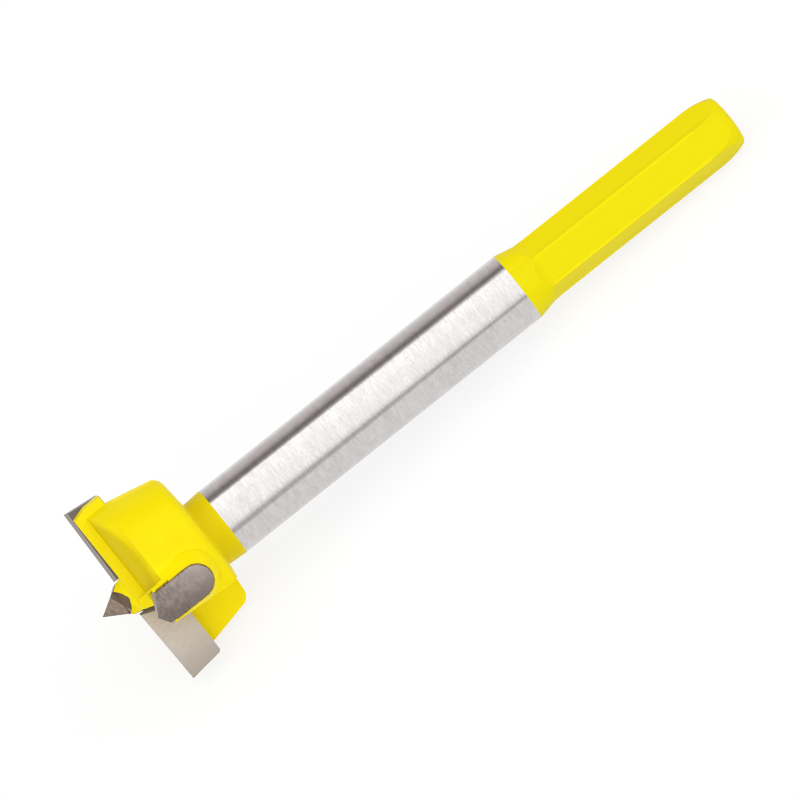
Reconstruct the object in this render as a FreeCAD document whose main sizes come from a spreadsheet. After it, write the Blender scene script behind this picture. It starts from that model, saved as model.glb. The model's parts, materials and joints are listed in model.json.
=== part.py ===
import FreeCAD, Part
import math
import os
import Sketcher

# Wood boring bit: one turned and milled steel body with two brazed cutting tips and
# two brazed scoring tips. While it is modelled, the tool's axis is the X axis: the
# centre point starts at X = 0 and the hex drive end is at the far end. The tool turns
# clockwise seen from the drive end. Everything that the head has comes in pairs, half
# a turn apart. At the end the pieces are laid down as the tool rests on a bench.

DRIVING_SIZES = (
    # millimetres or degrees; what lies along the axis is a length from the piece before
    ("cut_diameter", 35.0),
    ("point_projection", 5.1),
    ("point_flat", 0.08),
    ("point_length", 3.85),
    ("point_face_angle", 31.0),
    ("point_base_angle", 38.5),
    ("point_base_start", 0.94),
    ("point_base_turn", 4.0),
    ("pin_radius", 3.3),
    ("hub_length", 1.15),
    ("hub_flare", 1.6),
    ("hub_fillet", 1.9),
    ("web_flare", 1.3),
    ("edge_setback", 0.4),
    ("tip_thickness", 2.2),
    ("tip_height", 6.95),
    ("tip_start", 3.4),
    ("tip_taper", 0.7),
    ("tip_clearance", 0.6),
    ("tip_side_clearance", 0.3),
    ("tip_corner", 0.4),
    ("lug_setback", 1.0),
    ("lug_nose_length", 2.6),
    ("lug_length", 5.8),
    ("lug_thickness", 2.5),
    ("lug_nose_relief", 1.55),
    ("lug_relief", 0.75),
    ("head_setback", 2.7),
    ("head_radius", 15.3),
    ("head_land", 4.3),
    ("head_length", 13.8),
    ("head_back_taper", 1.2),
    ("head_back_rise", 0.6),
    ("head_fillet", 1.9),
    ("pocket_start", 0.1),
    ("pocket_cutter_radius", 10.0),
    ("pocket_reach", 6.3),
    ("pocket_depth", 3.3),
    ("post_side", 1.2),
    ("gullet_root", 2.4),
    ("gullet_lip", 5.7),
    ("gullet_wall_radius", 22.0),
    ("gullet_back_root", 5.6),
    ("gullet_back_lip", 9.5),
    ("gullet_drop", 3.4),
    ("gullet_fillet", 0.9),
    ("scorer_angle", 72.5),
    ("scorer_width", 5.8),
    ("scorer_length", 11.7),
    ("scorer_setback", 1.55),
    ("scorer_apex_offset", 0.7),
    ("scorer_lead_slope", 30.0),
    ("scorer_trail_slope", 32.0),
    ("scorer_relief", 0.1),
    ("scorer_seat_depth", 1.95),
    ("scorer_boss_setback", 0.9),
    ("scorer_boss_depth", 1.3),
    ("scorer_boss_foot", 1.9),
    ("scorer_boss_rim", 0.3),
    ("scorer_boss_drop", 0.5),
    ("scorer_land", 0.8),
    ("scorer_bevel", 2.0),
    ("braze_gap", 0.05),
    ("collar_length", 3.5),
    ("collar_step", 0.2),
    ("shank_diameter", 13.0),
    ("shank_length", 63.3),
    ("neck_length", 3.1),
    ("neck_overlap", 0.6),
    ("drive_length", 42.8),
    ("drive_flats", 10.0),
    ("drive_round_diameter", 11.48),
    ("drive_turn", 21.0),
    ("drive_runout", 2.4),
    ("drive_nose_length", 6.3),
    ("drive_nose_depth", 0.84),
    ("drive_nose_radius", 16.5),
    ("drive_rim_length", 1.2),
    ("drive_rim_radius", 1.0),
    ("drive_dome", 0.35),
)

# Stations along the axis and radii that follow from the driving sizes
CUT_RADIUS = "sizes.cut_diameter / 2"
CLEAR = "sizes.cut_diameter"
EDGE = "sizes.point_projection"
HUB_END = f"{EDGE} + sizes.hub_length"
LUG_FRONT = f"{EDGE} + sizes.lug_setback"
LUG_END = f"{LUG_FRONT} + sizes.lug_length"
LUG_BACK = "sizes.tip_thickness + sizes.lug_thickness"
LUG_RADIUS = f"({CUT_RADIUS} - sizes.lug_relief)"
HEAD_FRONT = f"{EDGE} + sizes.head_setback"
LAND_END = f"{HEAD_FRONT} + sizes.head_land"
HEAD_BACK = f"{HEAD_FRONT} + sizes.head_length"
BACK_RADIUS = "(sizes.head_radius - sizes.head_back_taper)"
SHANK_RADIUS = "sizes.shank_diameter / 2"
COLLAR_START = f"{HEAD_BACK} + sizes.head_back_rise"
SHANK_START = f"{COLLAR_START} + sizes.collar_length"
SHANK_END = f"{SHANK_START} + sizes.shank_length"
DRIVE_START = f"{SHANK_END} + sizes.neck_length"
DRIVE_END = f"{DRIVE_START} + sizes.drive_length"
DRIVE_RADIUS = "sizes.drive_round_diameter / 2"
NOSE_START = f"{DRIVE_END} - sizes.drive_nose_length"
SCORER_APEX = f"{EDGE} + sizes.scorer_setback"
SCORER_SEAT = "(sizes.head_radius - sizes.scorer_seat_depth)"
SCORER_RADIUS = f"({CUT_RADIUS} - sizes.scorer_relief)"

doc = FreeCAD.newDocument("wood_boring_bit")
sheet = doc.addObject("Spreadsheet::Sheet", "sizes")
for row, (name, number) in enumerate(DRIVING_SIZES, start=1):
    sheet.set(f"A{row}", name.replace("_", " "))
    sheet.set(f"B{row}", str(number))
    sheet.setAlias(f"B{row}", name)
doc.recompute()


def size(text):
    """The value of an expression on the sheet's sizes."""
    result = sheet.evalExpression(text)
    return float(getattr(result, "Value", result))


# Sketches

def new_sketch(body, name, plane, lift="0", turn="0"):
    """A sketch on an origin plane, turned about the plane's first axis, then lifted."""
    sketch = body.newObject("Sketcher::SketchObject", name)
    support = [item for item in body.Origin.OriginFeatures if item.Role == plane]
    sketch.AttachmentSupport = (support[0], [""])
    sketch.MapMode = "FlatFace"
    sketch.AttachmentOffset = FreeCAD.Placement(
        FreeCAD.Vector(0, 0, 0), FreeCAD.Rotation(FreeCAD.Vector(1, 0, 0), size(turn)))
    sketch.setExpression("AttachmentOffset.Rotation.Angle", f"({turn}) * 1 deg")
    sketch.setExpression("AttachmentOffset.Base.y", f"-({lift}) * sin(({turn}) * 1 deg)")
    sketch.setExpression("AttachmentOffset.Base.z", f"({lift}) * cos(({turn}) * 1 deg)")
    return sketch


def arc_between(start, end, radius, turn):
    """The short arc from start to end that turns left (1) or right (-1) on its way."""
    chord = end.sub(start)
    middle = start.add(end).multiply(0.5)
    height = math.sqrt(max(radius ** 2 - chord.Length ** 2 / 4, 0.0))
    side = FreeCAD.Vector(-chord.y, chord.x, 0).normalize().multiply(height * turn)
    centre = middle.add(side)
    first, last = (start, end) if turn > 0 else (end, start)
    angle = [math.atan2(p.y - centre.y, p.x - centre.x) for p in (first, last)]
    circle = Part.Circle(centre, FreeCAD.Vector(0, 0, 1), radius)
    return Part.ArcOfCircle(circle, angle[0], angle[1])


def outline(sketch, corners, arcs=None):
    """A closed outline: every corner is held by its two expressions.

    arcs gives, for the edge that leaves a corner, its radius and the way it turns."""
    arcs = arcs or {}
    points = [FreeCAD.Vector(size(x), size(y), 0) for x, y in corners]
    ends = []
    for index, start in enumerate(points):
        end = points[(index + 1) % len(points)]
        if index in arcs:
            radius, turn = arcs[index]
            sketch.addGeometry(arc_between(start, end, size(radius), turn), False)
            ends.append((1, 2) if turn > 0 else (2, 1))
        else:
            sketch.addGeometry(Part.LineSegment(start, end), False)
            ends.append((1, 2))
    for index in range(len(points)):
        after = (index + 1) % len(points)
        sketch.addConstraint(Sketcher.Constraint(
            "Coincident", index, ends[index][1], after, ends[after][0]))
    for index, (x, y) in enumerate(corners):
        hold_corner(sketch, "DistanceX", -2, index, ends[index][0], x)
        hold_corner(sketch, "DistanceY", -1, index, ends[index][0], y)
    for index, (radius, turn) in arcs.items():
        number = sketch.addConstraint(Sketcher.Constraint("Radius", index, size(radius)))
        sketch.setExpression(f"Constraints[{number}]", radius)


def hold_corner(sketch, kind, axis, edge, end, text):
    """Holds an edge's end at a distance from the origin, or on the axis itself."""
    if text == "0":
        sketch.addConstraint(Sketcher.Constraint("PointOnObject", edge, end, axis))
        return
    number = sketch.addConstraint(Sketcher.Constraint(kind, -1, 1, edge, end, size(text)))
    sketch.setExpression(f"Constraints[{number}]", text)


# Features

def new_body(label):
    body = doc.addObject("PartDesign::Body", label)
    body.Label = label
    return body


def volume(body):
    doc.recompute()
    return body.Shape.Volume if body.Tip else 0.0


def check_change(body, before, name, grows):
    """Stops when a feature adds or cuts nothing."""
    change = volume(body) - before
    if (change if grows else -change) < 1e-3:
        raise RuntimeError(f"{body.Label}: {name} changes nothing")


def turn_profile(body, kind, name, sketch):
    """A profile turned all the way round the tool's axis, added or cut."""
    before = volume(body)
    feature = body.newObject(kind, name)
    feature.Profile = sketch
    feature.ReferenceAxis = (sketch, ["H_Axis"])
    feature.Angle = 360
    check_change(body, before, name, kind == "PartDesign::Revolution")
    return feature


def extrude(body, kind, name, sketch, length, backwards=False):
    """A profile drawn straight out, added or cut."""
    before = volume(body)
    feature = body.newObject(kind, name)
    feature.Profile = sketch
    feature.Reversed = backwards
    feature.setExpression("Length", length)
    check_change(body, before, name, kind == "PartDesign::Pad")
    return feature


def cut_across(body, name, sketch, length):
    """A profile cut through to both sides of its plane."""
    before = volume(body)
    feature = body.newObject("PartDesign::Pocket", name)
    feature.Profile = sketch
    feature.SideType = "Symmetric"
    feature.setExpression("Length", length)
    check_change(body, before, name, False)
    return feature


def loft(body, kind, name, first, second):
    """A straight-ruled form between two profiles with matching corners."""
    before = volume(body)
    feature = body.newObject(kind, name)
    feature.Profile = first
    feature.Sections = [second]
    feature.Ruled = True
    check_change(body, before, name, kind == "PartDesign::AdditiveLoft")
    return feature


def repeat_round(body, name, originals, count, grows):
    """The same features again at even steps round the tool's axis."""
    before = volume(body)
    pattern = body.newObject("PartDesign::PolarPattern", name)
    pattern.Originals = originals
    axis = [item for item in body.Origin.OriginFeatures if item.Role == "X_Axis"]
    pattern.Axis = (axis[0], [""])
    pattern.Angle = 360
    pattern.Occurrences = count
    body.Tip = pattern
    check_change(body, before, name, grows)
    return pattern


# Steel body: centre point, head, collar, ground shank and hex drive end in one piece

def turned_blank(body):
    """The whole outline that is turned before any milling."""
    hub = "sizes.pin_radius + sizes.hub_flare"
    nose_radius = f"{DRIVE_RADIUS} - sizes.drive_nose_depth"
    dome_radius = f"({nose_radius} - sizes.drive_rim_radius)"
    corners = [
        ("0", "0"),
        ("0", "sizes.pin_radius"),
        (EDGE, "sizes.pin_radius"),
        (HUB_END, hub),
        (HEAD_FRONT, f"{hub} + sizes.web_flare"),
        (HEAD_FRONT, "sizes.head_radius"),
        (LAND_END, "sizes.head_radius"),
        (f"{HEAD_BACK} - sizes.head_fillet", BACK_RADIUS),
        (HEAD_BACK, f"{BACK_RADIUS} - sizes.head_fillet"),
        (COLLAR_START, f"{SHANK_RADIUS} - sizes.collar_step"),
        (SHANK_START, SHANK_RADIUS),
        (SHANK_END, SHANK_RADIUS),
        (f"{DRIVE_START} + sizes.neck_overlap", DRIVE_RADIUS),
        (NOSE_START, DRIVE_RADIUS),
        (f"{DRIVE_END} - sizes.drive_rim_length", nose_radius),
        (f"{DRIVE_END} - sizes.drive_dome", dome_radius),
        (DRIVE_END, "0"),
    ]
    dome = f"({dome_radius} ^ 2 + sizes.drive_dome ^ 2) / (2 * sizes.drive_dome)"
    arcs = {
        2: ("sizes.hub_fillet", 1),
        7: ("sizes.head_fillet", -1),
        13: ("sizes.drive_nose_radius", -1),
        14: ("sizes.drive_rim_radius * 1.1", -1),
        15: (dome, -1),
    }
    sketch = new_sketch(body, "turning_outline", "XY_Plane")
    outline(sketch, corners, arcs)
    return turn_profile(body, "PartDesign::Revolution", "turned_blank", sketch)


def backing_lugs(body):
    """The steel behind each cutting tip, relieved so that it doesn't rub in the hole."""
    sketch = new_sketch(body, "lug_outline", "XY_Plane", lift="sizes.tip_thickness")
    outline(sketch, [
        (LUG_FRONT, "0"),
        (LUG_FRONT, CUT_RADIUS),
        (LUG_END, CUT_RADIUS),
        (LUG_END, "0"),
    ])
    lug = extrude(body, "PartDesign::Pad", "lug", sketch, "sizes.lug_thickness")
    repeat_round(body, "lugs", [lug], 2, True)
    relief = new_sketch(body, "lug_relief_outline", "XY_Plane")
    nose_radius = f"{CUT_RADIUS} - sizes.lug_nose_relief"
    outline(relief, [
        (LUG_FRONT, nose_radius),
        (f"{LUG_FRONT} + sizes.lug_nose_length", LUG_RADIUS),
        (LUG_END, LUG_RADIUS),
        (LUG_END, CLEAR),
        (LUG_FRONT, CLEAR),
    ])
    turn_profile(body, "PartDesign::Groove", "lug_relief", relief)


def front_pocket(body):
    """The hollow that a round cutter leaves in the front of the head behind a lug."""
    sketch = new_sketch(body, "pocket_outline", "XZ_Plane", lift="sizes.post_side")
    floor = f"{HEAD_FRONT} + sizes.pocket_depth"
    outline(sketch, [
        ("-" + EDGE, LUG_BACK),
        (f"{HEAD_FRONT} + sizes.pocket_start", LUG_BACK),
        (floor, f"{LUG_BACK} + sizes.pocket_reach"),
        (floor, CLEAR),
        ("-" + EDGE, CLEAR),
    ], {1: ("sizes.pocket_cutter_radius", -1)})
    return extrude(body, "PartDesign::Pocket", "front_pocket", sketch, CLEAR)


def gullet_corners(root, lip, head_radius, wall):
    """The section of a chip gullet: one straight wall below the tip, one hollow wall."""
    height = f"sqrt({head_radius} ^ 2 - ({lip}) ^ 2)"
    return [
        (f"-{root}", f"sizes.gullet_fillet - {wall}"),
        (f"-{lip}", height),
        (f"-{lip} * 1.4", f"{height} * 1.4"),
        ("-" + CLEAR, f"{height} * 1.4"),
        ("-" + CLEAR, f"-{wall}"),
        (f"-{root} - sizes.gullet_fillet", f"-{wall}"),
    ]


def chip_gullet(body):
    """The open channel in front of a cutting tip, with a floor that climbs to the collar."""
    arcs = {0: ("sizes.gullet_wall_radius", 1), 5: ("sizes.gullet_fillet", -1)}
    front = new_sketch(body, "gullet_front_outline", "YZ_Plane", lift="-sizes.gullet_fillet")
    outline(front, gullet_corners("sizes.gullet_root", "sizes.gullet_lip",
                                  "sizes.head_radius", "sizes.tip_thickness"), arcs)
    back = new_sketch(body, "gullet_back_outline", "YZ_Plane", lift=COLLAR_START)
    wall = "(sizes.tip_thickness + sizes.gullet_drop)"
    outline(back, gullet_corners("sizes.gullet_back_root", "sizes.gullet_back_lip",
                                 BACK_RADIUS, wall), arcs)
    return loft(body, "PartDesign::SubtractiveLoft", "chip_gullet", front, back)


def scorer_corners(gap):
    """A scoring tip's outline: a roof-shaped front and a round end.

    A gap widens it into the slot that it is brazed in, and the slot is open in front."""
    side = f"(sizes.scorer_width / 2 + {gap})"
    end = f"{SCORER_APEX} + sizes.scorer_length - sizes.scorer_width / 2"
    round_end = [(end, side), (f"{end} + {side}", "0"), (end, f"-{side}")]
    if gap == "0":
        apex = "sizes.scorer_apex_offset"
        lead = f"{SCORER_APEX} + ({side} + {apex}) * tan(sizes.scorer_lead_slope * 1 deg)"
        trail = f"{SCORER_APEX} + ({side} - {apex}) * tan(sizes.scorer_trail_slope * 1 deg)"
        front = [(trail, f"-{side}"), (SCORER_APEX, f"-{apex}"), (lead, side)]
        return front + round_end, {3: (side, -1), 4: (side, -1)}
    front = [("0", f"-{side}"), ("0", side)]
    return front + round_end, {2: (side, -1), 3: (side, -1)}


def scorer_boss(body):
    """The swelling round a scoring tip's slot, which slopes down to the head."""
    outlines = []
    for name, lift, wider in (
            ("boss_foot_outline", "sizes.head_radius - sizes.scorer_boss_depth",
             "sizes.scorer_boss_foot"),
            ("boss_rim_outline", f"{SCORER_RADIUS} - sizes.scorer_boss_drop",
             "sizes.scorer_boss_rim")):
        side = f"(sizes.scorer_width / 2 + {wider})"
        end = f"{SCORER_APEX} + sizes.scorer_length - sizes.scorer_width / 2"
        sketch = new_sketch(body, name, "XY_Plane", lift=lift, turn="90 - sizes.scorer_angle")
        outline(sketch, [
            (f"{HEAD_FRONT} + sizes.scorer_boss_setback", f"-{side}"),
            (f"{HEAD_FRONT} + sizes.scorer_boss_setback", side),
            (end, side),
            (f"{end} + {side}", "0"),
            (end, f"-{side}"),
        ], {2: (side, -1), 3: (side, -1)})
        outlines.append(sketch)
    return loft(body, "PartDesign::AdditiveLoft", "scorer_boss", *outlines)


def scorer_sketch(body, name, gap):
    """A sketch on a scoring tip's seat, square to the radius that it is centred on."""
    sketch = new_sketch(body, name, "XY_Plane", lift=SCORER_SEAT,
                        turn="90 - sizes.scorer_angle")
    corners, arcs = scorer_corners(gap)
    outline(sketch, corners, arcs)
    return sketch


def drive_flats(body):
    """Six flats along the drive end, which run out in the neck as the cutter leaves them."""
    sketch = new_sketch(body, "flat_outline", "XZ_Plane", turn="90 - sizes.drive_turn")
    depth = f"({SHANK_RADIUS} - sizes.drive_flats / 2)"
    cutter = f"(sizes.drive_runout ^ 2 + {depth} ^ 2) / (2 * {depth})"
    outline(sketch, [
        (DRIVE_START, SHANK_RADIUS),
        (f"{DRIVE_START} + sizes.drive_runout", "sizes.drive_flats / 2"),
        (f"{DRIVE_END} + {SHANK_RADIUS}", "sizes.drive_flats / 2"),
        (f"{DRIVE_END} + {SHANK_RADIUS}", SHANK_RADIUS),
    ], {0: (cutter, 1)})
    flat = cut_across(body, "flat", sketch, "2 * sizes.drive_flats")
    repeat_round(body, "flats", [flat], 6, False)


def square(sketch, half):
    """A square outline centred on the tool's axis."""
    outline(sketch, [(half, half), (f"-{half}", half), (f"-{half}", f"-{half}"),
                     (half, f"-{half}")])


def ground_point(body):
    """Four flat faces ground on the pin, and a slender four-sided point in front of them."""
    sketch = new_sketch(body, "base_face_outline", "XZ_Plane", turn="sizes.point_base_turn")
    start = "sizes.point_base_start"
    height = f"({EDGE} - {start}) * tan(sizes.point_base_angle * 1 deg)"
    outline(sketch, [
        (start, "0"),
        (EDGE, height),
        ("-" + EDGE, height),
        ("-" + EDGE, "0"),
    ])
    face = cut_across(body, "base_face", sketch, "4 * sizes.pin_radius")
    repeat_round(body, "base_faces", [face], 4, False)
    half = "sizes.point_flat / 2"
    tip = new_sketch(body, "point_front_outline", "YZ_Plane")
    square(tip, f"({half})")
    foot = new_sketch(body, "point_back_outline", "YZ_Plane", lift="sizes.point_length")
    square(foot, f"({half} + sizes.point_length * tan(sizes.point_face_angle * 1 deg))")
    loft(body, "PartDesign::AdditiveLoft", "slender_point", tip, foot)


def steel_body():
    body = new_body("steel_body")
    turned_blank(body)
    ground_point(body)
    repeat_round(body, "scorer_bosses", [scorer_boss(body)], 2, True)
    repeat_round(body, "front_pockets", [front_pocket(body)], 2, False)
    repeat_round(body, "chip_gullets", [chip_gullet(body)], 2, False)
    slot = extrude(body, "PartDesign::Pocket", "scorer_slot",
                   scorer_sketch(body, "slot_outline", "sizes.braze_gap"),
                   CLEAR, True)
    repeat_round(body, "scorer_slots", [slot], 2, False)
    backing_lugs(body)
    drive_flats(body)
    return body


# Brazed tips

def cutting_tip(label):
    """A flat blade on a gullet's straight wall, ground back from its edge and its end."""
    body = new_body(label)
    back_end = f"{EDGE} + sizes.tip_height"

    def corners(clearance, side):
        rear_radius = f"({CUT_RADIUS} - sizes.tip_taper - {side})"
        return [
            (f"{EDGE} + {clearance}", "-sizes.tip_start"),
            (f"{EDGE} + sizes.edge_setback + {clearance}", f"-({CUT_RADIUS} - {side})"),
            (f"{back_end} - sizes.tip_corner", f"-{rear_radius}"),
            (back_end, f"-({rear_radius} - sizes.tip_corner)"),
            (back_end, "-sizes.tip_start"),
        ]

    face = new_sketch(body, "face_outline", "XY_Plane")
    outline(face, corners("0", "0"))
    seat = new_sketch(body, "seat_outline", "XY_Plane", lift="-sizes.tip_thickness")
    outline(seat, corners("sizes.tip_clearance", "sizes.tip_side_clearance"))
    loft(body, "PartDesign::AdditiveLoft", "blade", face, seat)
    return body


def scoring_tip(label):
    """A roof-pointed tooth, ground round to just under the cutting circle."""
    body = new_body(label)
    tooth = scorer_sketch(body, "tooth_outline", "0")
    extrude(body, "PartDesign::Pad", "tooth", tooth, f"{CUT_RADIUS} - {SCORER_SEAT}")
    grinding = new_sketch(body, "grinding_outline", "XY_Plane")
    outline(grinding, [
        ("0", SCORER_RADIUS),
        (SHANK_START, SCORER_RADIUS),
        (SHANK_START, CLEAR),
        ("0", CLEAR),
    ])
    turn_profile(body, "PartDesign::Groove", "round_grinding", grinding)
    bevel = new_sketch(body, "bevel_outline", "XZ_Plane", turn="90 - sizes.scorer_angle")
    outline(bevel, [
        (SCORER_APEX, f"{SCORER_RADIUS} - sizes.scorer_land"),
        (f"{SCORER_APEX} + sizes.scorer_bevel", SCORER_SEAT),
        (f"{SCORER_APEX} + sizes.scorer_bevel", "0"),
        ("0", "0"),
        ("0", f"{SCORER_RADIUS} - sizes.scorer_land"),
    ])
    cut_across(body, "nose_bevel", bevel, "2 * sizes.scorer_width")
    return body


# Resting place

def on_rim(station, radius, angle):
    """A point of the tool at a polar angle, from the first tip's side towards its face."""
    turn = math.radians(angle)
    return FreeCAD.Vector(station, -radius * math.cos(turn), radius * math.sin(turn))


def bench_angle():
    """The polar angle that points down when the tool has rolled to rest.

    It lies on the rim of the head, on a corner of the drive end and on the back corner
    of a lug. The angle between rim and lug is halved until all three touch one plane."""
    lug_radius = size(LUG_RADIUS)
    lug_angle = 360 - math.degrees(math.asin(size(LUG_BACK) / lug_radius))
    low = lug_angle - 60
    high = lug_angle
    while high - low > 1e-7:
        middle = (low + high) / 2
        lug = lug_radius * math.cos(math.radians(lug_angle - middle))
        if lug > bench_distance(middle, size(LUG_END)):
            high = middle
        else:
            low = middle
    return low


def bench_distance(angle, station):
    """How far the bench lies from the axis, measured towards a polar angle."""
    rim = size("sizes.head_radius")
    corner = size(DRIVE_RADIUS) * math.cos(math.radians(drive_corner(angle) - angle))
    slope = (rim - corner) / (size(NOSE_START) - size(LAND_END))
    return rim - slope * (station - size(LAND_END))


def drive_corner(angle):
    """The polar angle of the hexagon's corner that is nearest to an angle."""
    first = size("sizes.drive_turn") + 30
    return first + 60 * round((angle - first) / 60)


def bench_placement():
    """Lays the tool down along +X, with the bench as the plane Z = 0."""
    angle = bench_angle()
    near = size(LAND_END)
    far = size(NOSE_START)
    under_head = on_rim(near, bench_distance(angle, near), angle)
    under_drive = on_rim(far, bench_distance(angle, far), angle)
    along = under_drive.sub(under_head).normalize()
    across = FreeCAD.Vector(0, 0, 0).sub(on_rim(0, 1, angle)).cross(along).normalize()
    up = along.cross(across)
    laid = FreeCAD.Placement(FreeCAD.Vector(0, 0, 0), FreeCAD.Rotation(along, across, up, "ZXY"))
    return FreeCAD.Placement(FreeCAD.Vector(0, 0, 0), laid.Rotation.inverted())


# Assembly

steel = steel_body()
pieces = [(steel, 0)]
for number, half_turn in ((1, 0), (2, 180)):
    pieces.append((cutting_tip(f"cutting_tip_{number}"), half_turn))
    pieces.append((scoring_tip(f"scoring_tip_{number}"), half_turn))
doc.recompute()

laid_down = bench_placement()
AXIS = FreeCAD.Vector(1, 0, 0)
for body, half_turn in pieces:
    turned = FreeCAD.Placement(FreeCAD.Vector(0, 0, 0), FreeCAD.Rotation(AXIS, half_turn))
    body.Placement = laid_down.multiply(turned)
doc.recompute()

box = Part.makeCompound([body.Shape for body, half_turn in pieces]).optimalBoundingBox(False)
to_origin = FreeCAD.Vector(-box.Center.x, -box.Center.y, -box.ZMin)
for body, half_turn in pieces:
    body.Placement = FreeCAD.Placement(to_origin, FreeCAD.Rotation()).multiply(body.Placement)
doc.recompute()

for item in doc.Objects:
    if "Invalid" in item.State or "Error" in item.State:
        raise RuntimeError(f"{item.Label} failed: {item.State}")

os.makedirs("parts", exist_ok=True)
for body, half_turn in pieces:
    shape = body.Shape
    if shape.isNull() or not shape.isValid() or len(shape.Solids) != 1:
        raise RuntimeError(f"{body.Label} is not one sound solid")
    shape.exportStep(f"parts/{body.Label}.step")
    print(body.Label, round(shape.Volume, 2), "mm3")
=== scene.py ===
import json
import math

import bpy
from mathutils import Matrix, Vector

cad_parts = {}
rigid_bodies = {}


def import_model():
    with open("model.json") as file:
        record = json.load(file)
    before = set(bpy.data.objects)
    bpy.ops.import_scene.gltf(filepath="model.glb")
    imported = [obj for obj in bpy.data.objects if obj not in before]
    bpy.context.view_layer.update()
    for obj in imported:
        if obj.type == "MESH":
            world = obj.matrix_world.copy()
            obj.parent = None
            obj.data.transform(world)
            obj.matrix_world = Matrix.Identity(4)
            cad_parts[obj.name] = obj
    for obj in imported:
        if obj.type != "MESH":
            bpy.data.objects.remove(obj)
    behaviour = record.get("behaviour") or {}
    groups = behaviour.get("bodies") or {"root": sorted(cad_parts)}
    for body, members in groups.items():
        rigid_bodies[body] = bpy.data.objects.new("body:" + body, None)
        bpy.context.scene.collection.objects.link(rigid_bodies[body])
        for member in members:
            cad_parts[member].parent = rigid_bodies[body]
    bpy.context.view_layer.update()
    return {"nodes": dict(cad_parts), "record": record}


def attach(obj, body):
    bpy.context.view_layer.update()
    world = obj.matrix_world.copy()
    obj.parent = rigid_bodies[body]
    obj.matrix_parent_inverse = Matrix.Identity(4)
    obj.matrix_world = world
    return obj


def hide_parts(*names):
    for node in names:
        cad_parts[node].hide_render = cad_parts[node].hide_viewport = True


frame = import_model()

mm = 0.001
print("frame loaded:", sorted(frame["nodes"]))

# where the tool lies: along the shank, square to the first blade's face, out along that blade
shankMount = next(mount for mount in frame["record"]["mounts"] if mount["name"] == "ground_shank")
along = Vector(shankMount["axis"]).normalized()
shankMiddle = 57.35 * mm  # from the very point
point = Vector(shankMount["pos_m"]) - along * shankMiddle
bladeFaces = [face for face in frame["nodes"]["cutting_tip_1"].data.polygons if face.normal.z > 0.5]
square = max(bladeFaces, key=lambda face: face.area).normal.copy()
square = (square - along * square.dot(along)).normalized()
outward = along.cross(square)
toTool = Matrix((along, square, outward))  # rows: a point's station, height and reach
slotAngle = math.radians(72.5)  # the scoring slots stand this far round from the blades


def station(spot):  # station, height and reach of a spot, in millimetres
    return toTool @ (spot - point) / mm


def besideSlot(w, v):  # how far to one side of a scoring slot's middle; takes numbers or wires
    return v * math.sin(slotAngle) - w * math.cos(slotAngle)


# shader maths

class Wire:
    def __init__(self, tree, socket=None):
        self.tree = tree
        self.socket = socket

    def node(self, kind, settings=None, sockets=None, out=0):
        made = self.tree.nodes.new("ShaderNode" + kind)
        for name, value in (settings or {}).items():
            setattr(made, name, value)
        for name, value in (sockets or {}).items():
            if isinstance(value, Wire):
                self.tree.links.new(value.socket, made.inputs[name])
            else:
                made.inputs[name].default_value = value
        return Wire(self.tree, made.outputs[out])

    def math(self, operation, *values):
        return self.node("Math", {"operation": operation}, dict(enumerate(values)))

    def __add__(self, other):
        return self.math("ADD", self, other)

    def __sub__(self, other):
        return self.math("SUBTRACT", self, other)

    def __rsub__(self, other):
        return self.math("SUBTRACT", other, self)

    def __mul__(self, other):
        return self.math("MULTIPLY", self, other)

    def __truediv__(self, other):
        return self.math("DIVIDE", self, other)

    def between(self, low, high, out=(0.0, 1.0)):  # a smooth step from one number to another
        return self.node("MapRange", {"interpolation_type": "SMOOTHSTEP"}, {
            "Value": self, "From Min": low, "From Max": high, "To Min": out[0], "To Max": out[1]})

    def blend(self, first, second):  # this wire mixes two colours
        first, second = ((*end, 1) if isinstance(end, tuple) else end for end in (first, second))
        return self.node("Mix", {"data_type": "RGBA"}, {0: self, 6: first, 7: second}, out=2)

    def surface(self, kind):  # this wire becomes what the material or the world shows
        self.tree.links.new(self.socket, self.tree.nodes.new("ShaderNodeOutput" + kind).inputs["Surface"])


def newMaterial(name, shader):
    material = bpy.data.materials.new(name)
    material.use_nodes = True
    material.node_tree.nodes.clear()
    shader(Wire(material.node_tree)).surface("Material")
    return material


def toolPlace(base):  # Object coordinates turned to station, height and reach, in millimetres
    return base.node("Mapping", {"vector_type": "POINT"}, {
        "Vector": base.node("TexCoord", out="Object"), "Location": -(toTool @ point) / mm,
        "Rotation": toTool.to_euler("XYZ"), "Scale": (1 / mm,) * 3})


def splitPlace(base, place):
    return [base.node("SeparateXYZ", None, {0: place}, out=axis) for axis in "XYZ"]


def halfTurn(base, place):  # station, then height and reach as on the blade's own half
    s, w, v = splitPlace(base, place)
    return s, base.math("ABSOLUTE", w), v * base.math("SIGN", w)


def noise(base, place, scale=1.0, detail=3, roughness=0.5, stretch=None):
    if stretch:
        place = base.node("Mapping", None, {"Vector": place, "Scale": stretch})
    return base.node("TexNoise", None, {
        "Vector": place, "Scale": scale, "Detail": detail, "Roughness": roughness})


def bump(base, height, strength, depth=0.1):  # depth in millimetres
    return base.node("Bump", None, {"Strength": strength, "Distance": depth * mm, "Height": height})


def groundMetal(base, finish, colour, height, sheen):
    return base.node("BsdfPrincipled", None, {
        "Base Color": colour, "Metallic": finish["metallic"],
        "Roughness": (sheen - 0.5) * finish["spread"] + finish["roughness"],
        "Normal": bump(base, height, finish["bump"])})


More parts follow.
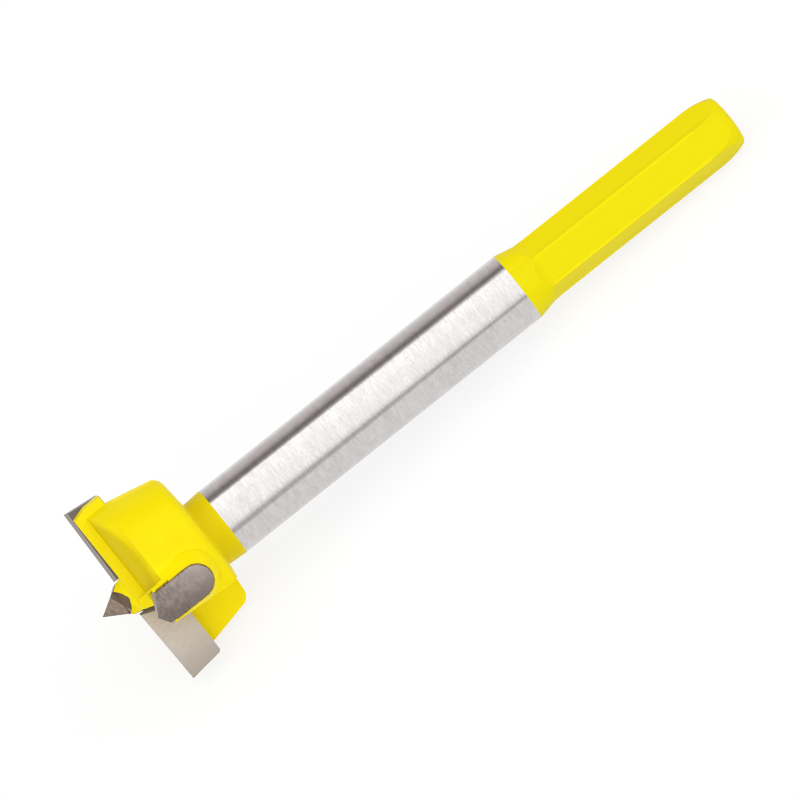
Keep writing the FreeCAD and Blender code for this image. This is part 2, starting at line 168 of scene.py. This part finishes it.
# yellow enamel, with painted highlights on the gullet floor, round the bosses and along the hexagon's
# corners, and painted shade in the pockets and on the collar; a pair of places, in millimetres, is where one
# tone gives way to another
enamel = {"colour": (0.79, 0.655, 0.0), "shade": (0.76, 0.61, 0.0), "shadedYellow": (0.60, 0.47, 0.0),
          "litYellow": (0.88, 0.725, 0.0), "lemon": (0.70, 0.605, 0.0), "litFlat": (0.745, 0.63, 0.0),
          "cloud": {"scale": 0.12}, "clouding": (0.3, 0.75), "peel": {"scale": 1 / 0.9, "detail": 2},
          "fine": {"scale": 4.0}, "fineShare": 0.15, "bump": 0.06, "bumpDepth": 0.3,
          "roughness": 0.42, "spread": 0.08, "gloss": 0.06, "coat": 0.03, "coatRoughness": 0.12}
drive = {"start": (84.0, 90.0), "lower": (-2.5, -2.9), "corner": (5.6, 5.7),
         "cornerStart": (93.5, 94.5), "cornerEnd": (128.5, 127.5), "highlightShare": 0.5}
gullet = {"start": (12.0, 13.8), "end": (22.3, 22.0), "height": (6.2, 5.9), "reach": (-2.6, -3.6)}
bossRim = {"round": 15.4, "inner": (3.0, 3.9), "outer": (6.2, 4.4), "height": (9.0, 12.0),
           "end": (20.5, 18.5), "highlightShare": 0.7}
pocket = {"height": (4.7, 5.2), "reach": (1.7, 1.2), "bottom": 11.3, "middle": -3.5, "curve": 0.025,
          "depth": (-0.1, 1.2)}
collar = {"start": (21.9, 22.5), "end": (25.9, 25.7), "lip": (25.8, 24.2), "lipTone": (0.6, 1.0), "tone": 0.5}


# painted light on the drive end: a lighter tone on one pair of flats and a painted highlight along the
# hexagon's corners
def driveTone(base, s, w, v):  # lemon by flat, and bright along the hexagon's corners
    lemon = v.between(*drive["lower"]).blend(enamel["lemon"], enamel["litFlat"])
    corner = base.math("SQRT", w * w + v * v).between(*drive["corner"])
    corner = corner * s.between(*drive["cornerStart"]) * s.between(*drive["cornerEnd"])
    return (corner * drive["highlightShare"]).blend(lemon, enamel["litYellow"])


# painted light: the gullet floor, which lies in the head's shade, is brightened
def gulletFloorLight(s, w, v):
    return s.between(*gullet["start"]) * w.between(*gullet["height"]) * v.between(*gullet["reach"]) \
        * s.between(*gullet["end"])


# painted highlight round the rim of each boss
def bossRimHighlight(base, s, w, v):
    beside = besideSlot(w, v)
    beyond = base.math("MAXIMUM", s - bossRim["round"], 0.0)
    away = base.math("SQRT", beside * beside + beyond * beyond)
    return away.between(*bossRim["inner"]) * away.between(*bossRim["outer"]) \
        * w.between(*bossRim["height"]) * s.between(*bossRim["end"])


# painted shade in each pocket, deepest in its scoop
def pocketShade(s, w, v):
    aside = v - pocket["middle"]
    depth = pocket["bottom"] - aside * aside * pocket["curve"] - s
    return w.between(*pocket["height"]) * v.between(*pocket["reach"]) * depth.between(*pocket["depth"])


# painted shade on the collar beside the head, a little weaker towards its rear end
def collarShade(s):
    lip = s.between(*collar["lip"], collar["lipTone"])
    return s.between(*collar["start"]) * lip * s.between(*collar["end"])


# the bare ground faces of the centre point
pointFaces = {"start": 0.94, "slope": math.tan(math.radians(38.5)), "turn": math.radians(4),
              "edge": (0.10, 0.04), "end": (5.4, 5.3), "step": (3.56, 3.64), "stepSlope": 0.4,
              "colour": (0.265, 0.21, 0.17), "dark": (0.19, 0.145, 0.115), "base": (0.12, 0.085, 0.055),
              "scratches": {"detail": 2, "stretch": (2.5, 1.2, 1.2)}, "contrast": (0.3, 0.7),
              "metallic": 0.9, "roughness": 0.3}


def bareFaces(base, place):  # 1 on the ground faces of the point, 0 on the paint
    s, w, v = splitPlace(base, place)
    cos, sin = math.cos(pointFaces["turn"]), math.sin(pointFaces["turn"])
    across = base.math("MAXIMUM", base.math("ABSOLUTE", w * cos + v * sin),
                       base.math("ABSOLUTE", v * cos - w * sin))
    depth = (s - pointFaces["start"]) * pointFaces["slope"] - across
    return depth.between(*pointFaces["edge"]) * s.between(*pointFaces["end"])


# scratched ground steel on the point, with the band behind the step darkened as painted shade
def pointScratchesAndShade(base, place, s, v):
    scratches = noise(base, place, **pointFaces["scratches"]).between(*pointFaces["contrast"])
    behind = (s - v * pointFaces["stepSlope"]).between(*pointFaces["step"])
    return behind.blend(scratches.blend(pointFaces["dark"], pointFaces["colour"]), pointFaces["base"])


def enamelShader(base):
    place = toolPlace(base)
    s, w, v = halfTurn(base, place)
    cloud = noise(base, place, **enamel["cloud"]).between(*enamel["clouding"])
    yellow = cloud.blend(enamel["colour"], enamel["shade"])
    yellow = s.between(*drive["start"]).blend(yellow, driveTone(base, s, w, v))
    # painted light and shade: a brightened gullet floor, highlights round the boss rims, shade in the pockets
    # and on the collar
    yellow = gulletFloorLight(s, w, v).blend(yellow, enamel["litYellow"])
    yellow = (bossRimHighlight(base, s, w, v) * bossRim["highlightShare"]).blend(yellow, enamel["litYellow"])
    yellow = (pocketShade(s, w, v) + collarShade(s) * collar["tone"]).blend(yellow, enamel["shadedYellow"])
    bare = bareFaces(base, place)
    fine = noise(base, place, **enamel["fine"])
    height = noise(base, place, **enamel["peel"]) + fine * enamel["fineShare"]
    paintRoughness = (fine - 0.5) * enamel["spread"] + enamel["roughness"]
    return base.node("BsdfPrincipled", None, {
        "Base Color": bare.blend(yellow, pointScratchesAndShade(base, place, s, v)),
        "Metallic": bare * pointFaces["metallic"],
        "Roughness": paintRoughness + bare * (pointFaces["roughness"] - enamel["roughness"]),
        "Coat Weight": (1.0 - bare) * enamel["coat"], "Coat Roughness": enamel["coatRoughness"],
        "Specular IOR Level": enamel["gloss"],
        "Normal": bump(base, height, enamel["bump"], enamel["bumpDepth"])})


# ground steel of the shank
steel = {"colour": (0.69, 0.675, 0.67), "dark": (0.52, 0.495, 0.49), "contrast": (0.34, 0.66),
         "lines": {"roughness": 0.7, "stretch": (9.0, 0.45, 0.45)},
         "bands": {"roughness": 0.6, "stretch": (0.7, 0.25, 0.25)},
         "grains": {"roughness": 0.6, "stretch": (6.0, 2.0, 2.0)},
         "toneShares": (0.4, 0.25, 0.35), "bumpShares": (0.7, 0.5),
         "metallic": 1.0, "roughness": 0.1, "spread": 0.06, "bump": 0.14}


def steelShader(base):
    place = toolPlace(base)
    lines, bands, grains = (noise(base, place, **steel[kind]) for kind in ("lines", "bands", "grains"))
    ofLines, ofBands, ofGrains = steel["toneShares"]
    tone = (lines * ofLines + bands * ofBands + grains * ofGrains).between(*steel["contrast"])
    height = lines * steel["bumpShares"][0] + grains * steel["bumpShares"][1]
    return groundMetal(base, steel, tone.blend(steel["dark"], steel["colour"]), height, bands)


# the blades' ground carbide, with its dark outer end, its thin edges, its darker back, and a dark band along
# the inner end that is partly braze and partly painted shadow of the web
blade = {"colour": (0.52, 0.465, 0.42), "dark": (0.44, 0.385, 0.34), "back": (0.13, 0.115, 0.10),
         "edge": (0.30, 0.26, 0.22), "contrast": (0.3, 0.7), "grain": {"scale": 5.0},
         "marks": {"roughness": 0.6, "stretch": (0.5, 1.0, 3.0)}, "marksShare": 0.6, "grainShare": 0.4,
         "outer": (10.0, 17.5), "outerTone": 0.8, "end": (17.28, 17.34), "endTone": 0.6,
         "inner": (3.9, 3.6), "innerStart": 5.27, "innerSlope": 0.38, "innerLimit": (5.0, 4.6),
         "side": (0.02, 0.12), "rear": (2.08, 2.18),
         "metallic": 0.8, "roughness": 0.42, "spread": 0.1, "bump": 0.08}


def bladeShader(base):
    place = toolPlace(base)
    s, w, v = halfTurn(base, place)
    reach = base.math("ABSOLUTE", v)
    marks = noise(base, place, **blade["marks"])
    grain = noise(base, place, **blade["grain"])
    tone = (marks * blade["marksShare"] + grain * blade["grainShare"]).between(*blade["contrast"])
    ground = tone.blend(blade["dark"], blade["colour"])
    ground = (reach.between(*blade["outer"]) * blade["outerTone"]).blend(ground, blade["edge"])
    # a dark band along the inner end: partly braze, partly painted shadow of the web
    inner = (reach - (s - blade["innerStart"]) * blade["innerSlope"]).between(*blade["inner"])
    inner = inner * reach.between(*blade["innerLimit"])
    end = reach.between(*blade["end"]) * blade["endTone"]
    ground = (inner + end).blend(ground, blade["back"])
    side = w.between(*blade["side"]).blend(ground, blade["edge"])
    return groundMetal(base, blade, w.between(*blade["rear"]).blend(side, blade["back"]), marks, marks)


# the scoring teeth's scored brown carbide, with painted light at the rear and on the front faces, and painted
# shade towards one side
scorer = {"colour": (0.335, 0.275, 0.25), "dark": (0.17, 0.138, 0.12), "light": (0.43, 0.37, 0.345),
          "blotches": {"scale": 0.9, "roughness": 0.6}, "blotchShare": 0.6, "marksShare": 0.4,
          "marks": {"roughness": 0.6, "stretch": (3.0, 0.7, 0.7)}, "contrast": (0.32, 0.68),
          "rear": (7.5, 17.0), "rearSlope": 0.3, "rearLightShare": 0.6,
          "across": (-0.5, 3.5), "acrossShadeShare": 0.6, "front": (-0.3, -0.6),
          "metallic": 0.8, "roughness": 0.38, "spread": 0.1, "bump": 0.08}


def scorerShader(base):
    place = toolPlace(base)
    s, w, v = halfTurn(base, place)
    blotches = noise(base, place, **scorer["blotches"])
    marks = noise(base, place, **scorer["marks"])
    tone = (blotches * scorer["blotchShare"] + marks * scorer["marksShare"]).between(*scorer["contrast"])
    colour = tone.blend(scorer["dark"], scorer["colour"])
    # painted light, lighter towards the rear
    rear = (s - v * scorer["rearSlope"]).between(*scorer["rear"]) * scorer["rearLightShare"]
    colour = rear.blend(colour, scorer["light"])
    # painted shade, darker towards one side of the slot
    across = besideSlot(w, v).between(*scorer["across"]) * scorer["acrossShadeShare"]
    colour = across.blend(colour, scorer["dark"])
    # painted light on the faces that look towards the point
    normal = base.node("TexCoord", out="Normal")
    facing = base.node("VectorMath", {"operation": "DOT_PRODUCT"}, {0: normal, 1: tuple(along)}, out=1)
    colour = facing.between(*scorer["front"]).blend(colour, scorer["light"])
    return groundMetal(base, scorer, colour, marks, marks)


enamelPaint = newMaterial("yellow_enamel", enamelShader)
groundSteel = newMaterial("ground_steel", steelShader)
bladeCarbide = newMaterial("blade_carbide", bladeShader)
scorerCarbide = newMaterial("scorer_carbide", scorerShader)
print("materials made")

# modelling helpers
merge = {"weld": 2e-6, "flat": math.radians(0.3)}


def deselect():
    for thing in bpy.context.selected_objects:
        thing.select_set(False)


def mergedCopy(node, name):  # leaves the CAD piece as it is, and its copy in edit mode
    source = frame["nodes"][node]
    piece = source.copy()
    piece.data = source.data.copy()
    piece.name = name
    bpy.context.scene.collection.objects.link(piece)
    for key in list(piece.keys()):
        del piece[key]
    deselect()
    piece.select_set(True)
    bpy.context.view_layer.objects.active = piece
    bpy.ops.object.mode_set(mode="EDIT")
    bpy.ops.mesh.select_all(action="SELECT")
    bpy.ops.mesh.remove_doubles(threshold=merge["weld"])
    bpy.ops.mesh.dissolve_limited(angle_limit=merge["flat"])
    return piece


def dress(thing, *materials):
    thing.data.materials.clear()
    for material in materials:
        thing.data.materials.append(material)


# the steel body, with the edges rounded as paint and polish leave them
body = {"edge": 0.22 * mm, "edgeSteps": 3, "sharp": math.radians(32), "smooth": math.radians(24),
        "shank": (25.7, 89.0), "drive": 91.0}
boss = {"across": 6.0, "along": (8.8, 21.4), "radius": (14.2, 15.7)}
wedge = {"along": (7.0, 9.3), "height": (6.0, 15.5), "reach": (0.9, 2.7)}
pinch = {"spots": ((7.8, 15.25, 1.2), (7.8, 13.62, 1.2)), "near": 0.03}


def atBossFoot(spot):
    s, w, v = station(spot)
    return boss["along"][0] < s < boss["along"][1] and abs(besideSlot(w, v)) < boss["across"] \
        and boss["radius"][0] < math.hypot(w, v) < boss["radius"][1]


def onWedge(spot):
    s, w, v = station(spot)
    v = v * (1 if w > 0 else -1)
    return wedge["along"][0] < s < wedge["along"][1] and wedge["height"][0] < abs(w) < wedge["height"][1] \
        and wedge["reach"][0] < v < wedge["reach"][1]


def atPinch(spot, half):
    ends = [Vector((s, w * half, v * half)) for s, w, v in pinch["spots"]]
    return any((station(spot) - end).length < pinch["near"] for end in ends)


steelBody = mergedCopy("steel_body", "painted_steel_body")
for half in (1, -1):  # the front face is pinched beside each boss: cut it there
    bpy.ops.mesh.select_mode(type="VERT")
    bpy.ops.mesh.select_all(action="DESELECT")
    bpy.ops.object.mode_set(mode="OBJECT")
    for corner in steelBody.data.vertices:
        corner.select = atPinch(corner.co, half)
    bpy.ops.object.mode_set(mode="EDIT")
    bpy.ops.mesh.vert_connect()
bpy.ops.mesh.select_mode(type="EDGE")
bpy.ops.mesh.select_all(action="DESELECT")
bpy.ops.mesh.edges_select_sharp(sharpness=body["sharp"])
bpy.ops.object.mode_set(mode="OBJECT")
corners = steelBody.data.vertices
for edge in steelBody.data.edges:  # the thin wedge in front of each boss stays as cut
    edge.select = edge.select and not any(onWedge(corners[end].co) for end in edge.vertices)
bpy.ops.object.mode_set(mode="EDIT")
bpy.ops.mesh.bevel(offset=body["edge"], segments=body["edgeSteps"], affect="EDGES", clamp_overlap=True)
bpy.ops.object.mode_set(mode="OBJECT")
bpy.ops.object.shade_smooth_by_angle(angle=body["smooth"])
corners = steelBody.data.vertices
for edge in steelBody.data.edges:  # the bosses flow into the head
    if all(atBossFoot(corners[end].co) for end in edge.vertices):
        edge.use_edge_sharp = False

# the hexagon's flats shade flat
hexagon = steelBody.vertex_groups.new(name="drive")
hexagon.add([corner.index for corner in corners if station(corner.co).x > body["drive"]], 1.0, "REPLACE")
flatter = steelBody.modifiers.new("flatter", "WEIGHTED_NORMAL")
flatter.keep_sharp = True
flatter.vertex_group = hexagon.name
bpy.ops.object.modifier_apply(modifier=flatter.name)

dress(steelBody, enamelPaint, groundSteel)
bareCount = 0
for face in steelBody.data.polygons:
    if body["shank"][0] < station(face.center).x < body["shank"][1]:
        face.material_index = 1
        bareCount += 1
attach(steelBody, "root")
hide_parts("steel_body")
print("steel body:", len(steelBody.data.polygons), "faces,", bareCount, "bare")

for number in (1, 2):
    dress(frame["nodes"][f"cutting_tip_{number}"], bladeCarbide)
    dress(frame["nodes"][f"scoring_tip_{number}"], scorerCarbide)
print("tips finished")

# braze that shows round the scoring teeth: a thin ring of each tooth's outline
seam = {"fat": 0.22 * mm, "top": 16.98 * mm, "foot": 16.5 * mm, "front": 9.2 * mm, "smooth": math.radians(30),
        "colour": (0.42, 0.30, 0.07), "dark": (0.16, 0.11, 0.03), "contrast": (0.4, 0.6),
        "blotches": {"scale": 1.5, "roughness": 0.6}, "metallic": 0.7, "roughness": 0.45}


def brazeShader(base):
    blotches = noise(base, toolPlace(base), **seam["blotches"]).between(*seam["contrast"])
    return base.node("BsdfPrincipled", None, {
        "Base Color": blotches.blend(seam["dark"], seam["colour"]),
        "Metallic": seam["metallic"], "Roughness": seam["roughness"]})


def keepBelow(spot, direction):
    bpy.ops.mesh.select_all(action="SELECT")
    bpy.ops.mesh.bisect(plane_co=spot, plane_no=direction, use_fill=True, clear_outer=True)


braze = newMaterial("braze", brazeShader)
for number, half in ((1, 1), (2, -1)):
    ring = mergedCopy(f"scoring_tip_{number}", f"braze_seam_{number}")
    radial = (square * math.sin(slotAngle) + outward * math.cos(slotAngle)) * half
    bpy.ops.transform.shrink_fatten(value=seam["fat"], use_even_offset=True)
    keepBelow(point + radial * seam["top"], radial)
    keepBelow(point + radial * seam["foot"], -radial)
    keepBelow(point + along * seam["front"], -along)
    bpy.ops.object.mode_set(mode="OBJECT")
    bpy.ops.object.shade_smooth_by_angle(angle=seam["smooth"])
    dress(ring, braze)
    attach(ring, "root")
    stations = [station(corner.co).x for corner in ring.data.vertices]
    print(f"seam {number}: {len(stations)} corners, stations {min(stations):.2f} to {max(stations):.2f}")

# floor: white to the camera, and darker where it is mirrored from well in front of the tool
bench = {"size": 6.0, "matt": (0.9, 0.9, 0.9, 1), "front": (-0.07, -0.12), "white": (1.0, 1.0, 1.0),
         "mirrored": (0.60, 0.55, 0.53), "glow": 0.82}
deselect()
bpy.ops.mesh.primitive_plane_add(size=bench["size"], location=(0, 0, 0))
floor = bpy.context.object
floor.name = "floor"


def floorShader(base):
    toCamera, glossy, through = (
        base.node("LightPath", out=f"Is {kind} Ray") for kind in ("Camera", "Glossy", "Transmission"))
    nearness = base.node("SeparateXYZ", None, {0: base.node("TexCoord", out="Object")}, out="Y")
    tint = (nearness.between(*bench["front"]) * glossy).blend(bench["white"], bench["mirrored"])
    matt = base.node("BsdfDiffuse", None, {"Color": bench["matt"]})
    glow = base.node("Emission", None, {"Color": tint})
    return base.node("MixShader", None, {0: (toCamera + glossy + through) * bench["glow"], 1: matt, 2: glow})


dress(floor, newMaterial("pale_floor", floorShader))

# studio light: a broad soft roof, a dark gap behind it and a pale wall, by angle about the tool
studio = [  # angle above the near horizon in degrees, colour
    (0, (0.55,) * 3), (4, (0.8,) * 3), (11, (1.15,) * 3), (20, (1.4,) * 3), (38, (1.45,) * 3),
    (60, (1.5,) * 3), (80, (1.6,) * 3), (107, (1.6,) * 3), (112, (0.6, 0.57, 0.56)),
    (118, (0.3, 0.265, 0.26)), (126, (0.27, 0.235, 0.235)), (136, (0.47, 0.43, 0.43)),
    (146, (0.68, 0.62, 0.61)), (158, (0.78, 0.72, 0.71)), (175, (0.85,) * 3), (195, (0.7,) * 3),
    (330, (0.6,) * 3), (360, (0.55,) * 3)]
world = bpy.data.worlds.new("studio")
bpy.context.scene.world = world
world.use_nodes = True
world.node_tree.nodes.clear()
base = Wire(world.node_tree)
ray = base.node("TexCoord", out="Generated")
upward = base.node("SeparateXYZ", None, {0: ray}, out="Z")
forward = base.node("SeparateXYZ", None, {0: ray}, out="Y") * -1.0
turn = base.math("FRACT", base.math("ARCTAN2", upward, forward) / (2 * math.pi) + 1.0)
glow = base.node("ValToRGB", None, {0: turn})
ramp = glow.socket.node.color_ramp
while len(ramp.elements) < len(studio):
    ramp.elements.new(0.5)
for stop, (degrees, colour) in zip(ramp.elements, studio):
    stop.position = degrees / 360
    stop.color = (*colour, 1)
sky = base.node("Background", None, {"Color": glow})
white = base.node("Background", None, {"Color": (1, 1, 1, 1)})
toCamera = base.node("LightPath", out="Is Camera Ray")
base.node("MixShader", None, {0: toCamera, 1: sky, 2: white}).surface("World")
bpy.context.scene.view_settings.view_transform = "Standard"
bpy.context.scene.cycles.filter_width = 1.1  # pixels: a crisp picture
print("studio set")

# camera
view = {"tilt": 0.05, "roll": math.radians(38.54), "away": 2.5, "frame": 134.2 * mm,
        "right": 49.83 * mm, "up": 36.41 * mm, "sensor": 36, "farthest": 20}
back = square * math.cos(view["tilt"]) - along * math.sin(view["tilt"])
level = along * math.cos(view["tilt"]) + square * math.sin(view["tilt"])
right = level * math.cos(view["roll"]) + outward * math.sin(view["roll"])
up = level * math.sin(view["roll"]) - outward * math.cos(view["roll"])
target = point + right * view["right"] + up * view["up"]
lens = bpy.data.cameras.new("camera")
lens.sensor_width = view["sensor"]
lens.lens = view["sensor"] * view["away"] / view["frame"]
lens.clip_end = view["farthest"]
camera = bpy.data.objects.new("camera", lens)
camera.matrix_world = Matrix.Translation(target + back * view["away"]) \
    @ Matrix((right, up, back)).transposed().to_4x4()
bpy.context.scene.collection.objects.link(camera)
bpy.context.scene.camera = camera
print("camera placed")
